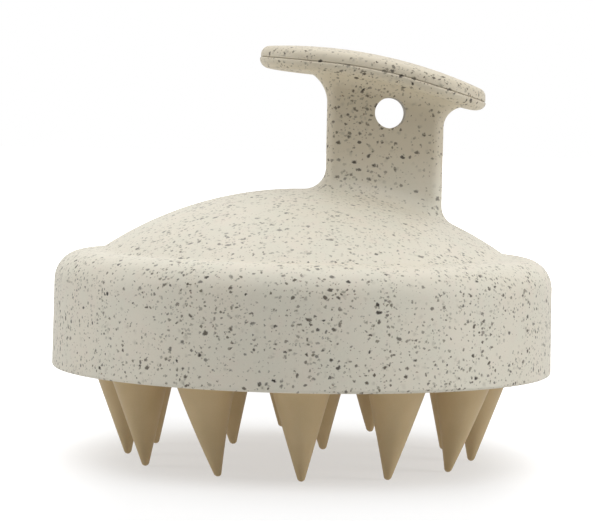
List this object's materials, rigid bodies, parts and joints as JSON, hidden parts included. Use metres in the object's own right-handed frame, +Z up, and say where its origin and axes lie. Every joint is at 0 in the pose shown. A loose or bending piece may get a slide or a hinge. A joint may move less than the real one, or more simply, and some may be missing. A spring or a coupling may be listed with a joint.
{
  "type": "scalp massager brush",
  "caption": "Round domed hand brush for the scalp with an offset T-shaped finger grip, a hanging hole and soft conical silicone bristles.",
  "frame": {"origin": "on the round body's axis, in the plane the outer bristle tips stand on", "axes": "+Z up through the dome; +X along the finger grip, towards its short arm; +Y along the hanging hole, away from the viewer"},
  "size_m": [0.085, 0.085, 0.0703],
  "materials": {
    "body_plastic": "satin, ivory-grey, flecked with fine brown and black plant fibre",
    "inner_plastic": "plain matte, ivory-grey",
    "silicone": "satin, soft, tan"
  },
  "bodies": {
    "brush_body": {"body_shell": "body_plastic", "handle_cap": "body_plastic", "carrier_plate": "inner_plastic", "silicone_pad": "silicone"},
    "outer_01": {"bristle_outer_01": "silicone"},
    "outer_02": {"bristle_outer_02": "silicone"},
    "outer_03": {"bristle_outer_03": "silicone"},
    "outer_04": {"bristle_outer_04": "silicone"},
    "outer_05": {"bristle_outer_05": "silicone"},
    "outer_06": {"bristle_outer_06": "silicone"},
    "outer_07": {"bristle_outer_07": "silicone"},
    "outer_08": {"bristle_outer_08": "silicone"},
    "outer_09": {"bristle_outer_09": "silicone"},
    "outer_10": {"bristle_outer_10": "silicone"},
    "outer_11": {"bristle_outer_11": "silicone"},
    "outer_12": {"bristle_outer_12": "silicone"},
    "inner_01": {"bristle_inner_01": "silicone"},
    "inner_02": {"bristle_inner_02": "silicone"},
    "inner_03": {"bristle_inner_03": "silicone"},
    "inner_04": {"bristle_inner_04": "silicone"},
    "inner_05": {"bristle_inner_05": "silicone"},
    "inner_06": {"bristle_inner_06": "silicone"},
    "centre": {"bristle_centre": "silicone"}
  },
  "joints": [
    {"name": "outer_01_flex", "type": "hinge", "parent": "brush_body", "child": "outer_01", "pos_m": [0.00009, -0.03038, 0.01167], "axis": [-1, 0, 0], "range_deg": [-15, 15], "stiffness_Nm_per_rad": 0.01},
    {"name": "outer_02_flex", "type": "hinge", "parent": "brush_body", "child": "outer_02", "pos_m": [0.01504, -0.02631, 0.01168], "axis": [-0.866, -0.5, 0], "range_deg": [-15, 15], "stiffness_Nm_per_rad": 0.01},
    {"name": "outer_03_flex", "type": "hinge", "parent": "brush_body", "child": "outer_03", "pos_m": [0.02604, -0.01519, 0.01169], "axis": [-0.5, -0.866, 0], "range_deg": [-15, 15], "stiffness_Nm_per_rad": 0.01},
    {"name": "outer_04_flex", "type": "hinge", "parent": "brush_body", "child": "outer_04", "pos_m": [0.03038, 0, 0.01167], "axis": [0, -1, 0], "range_deg": [-15, 15], "stiffness_Nm_per_rad": 0.01},
    {"name": "outer_05_flex", "type": "hinge", "parent": "brush_body", "child": "outer_05", "pos_m": [0.02631, 0.01519, 0.01167], "axis": [0.5, -0.866, 0], "range_deg": [-15, 15], "stiffness_Nm_per_rad": 0.01},
    {"name": "outer_06_flex", "type": "hinge", "parent": "brush_body", "child": "outer_06", "pos_m": [0.01519, 0.02631, 0.01167], "axis": [0.866, -0.5, 0], "range_deg": [-15, 15], "stiffness_Nm_per_rad": 0.01},
    {"name": "outer_07_flex", "type": "hinge", "parent": "brush_body", "child": "outer_07", "pos_m": [0, 0.03038, 0.01167], "axis": [1, 0, 0], "range_deg": [-15, 15], "stiffness_Nm_per_rad": 0.01},
    {"name": "outer_08_flex", "type": "hinge", "parent": "brush_body", "child": "outer_08", "pos_m": [-0.01519, 0.02631, 0.01167], "axis": [0.866, 0.5, 0], "range_deg": [-15, 15], "stiffness_Nm_per_rad": 0.01},
    {"name": "outer_09_flex", "type": "hinge", "parent": "brush_body", "child": "outer_09", "pos_m": [-0.02631, 0.01519, 0.01167], "axis": [0.5, 0.866, 0], "range_deg": [-15, 15], "stiffness_Nm_per_rad": 0.01},
    {"name": "outer_10_flex", "type": "hinge", "parent": "brush_body", "child": "outer_10", "pos_m": [-0.03038, 0, 0.01167], "axis": [0, 1, 0], "range_deg": [-15, 15], "stiffness_Nm_per_rad": 0.01},
    {"name": "outer_11_flex", "type": "hinge", "parent": "brush_body", "child": "outer_11", "pos_m": [-0.02631, -0.01519, 0.01167], "axis": [-0.5, 0.866, 0], "range_deg": [-15, 15], "stiffness_Nm_per_rad": 0.01},
    {"name": "outer_12_flex", "type": "hinge", "parent": "brush_body", "child": "outer_12", "pos_m": [-0.01472, -0.02631, 0.01171], "axis": [-0.866, 0.5, 0], "range_deg": [-15, 15], "stiffness_Nm_per_rad": 0.01},
    {"name": "inner_01_flex", "type": "hinge", "parent": "brush_body", "child": "inner_01", "pos_m": [0.00354, -0.01577, 0.01256], "axis": [-0.9781, -0.2079, 0], "range_deg": [-15, 15], "stiffness_Nm_per_rad": 0.008},
    {"name": "inner_02_flex", "type": "hinge", "parent": "brush_body", "child": "inner_02", "pos_m": [0.01533, -0.00498, 0.01256], "axis": [-0.309, -0.9511, 0], "range_deg": [-15, 15], "stiffness_Nm_per_rad": 0.008},
    {"name": "inner_03_flex", "type": "hinge", "parent": "brush_body", "child": "inner_03", "pos_m": [0.01223, 0.01079, 0.01255], "axis": [0.6691, -0.7431, 0], "range_deg": [-15, 15], "stiffness_Nm_per_rad": 0.008},
    {"name": "inner_04_flex", "type": "hinge", "parent": "brush_body", "child": "inner_04", "pos_m": [-0.00335, 0.01577, 0.01256], "axis": [0.9781, 0.2079, 0], "range_deg": [-15, 15], "stiffness_Nm_per_rad": 0.008},
    {"name": "inner_05_flex", "type": "hinge", "parent": "brush_body", "child": "inner_05", "pos_m": [-0.01533, 0.00498, 0.01256], "axis": [0.309, 0.9511, 0], "range_deg": [-15, 15], "stiffness_Nm_per_rad": 0.008},
    {"name": "inner_06_flex", "type": "hinge", "parent": "brush_body", "child": "inner_06", "pos_m": [-0.01186, -0.01079, 0.01257], "axis": [-0.6691, 0.7431, 0], "range_deg": [-15, 15], "stiffness_Nm_per_rad": 0.008},
    {"name": "centre_flex", "type": "hinge", "parent": "brush_body", "child": "centre", "pos_m": [0, 0, 0.01255], "axis": [0, -1, 0], "range_deg": [-15, 15], "stiffness_Nm_per_rad": 0.008}
  ]
}
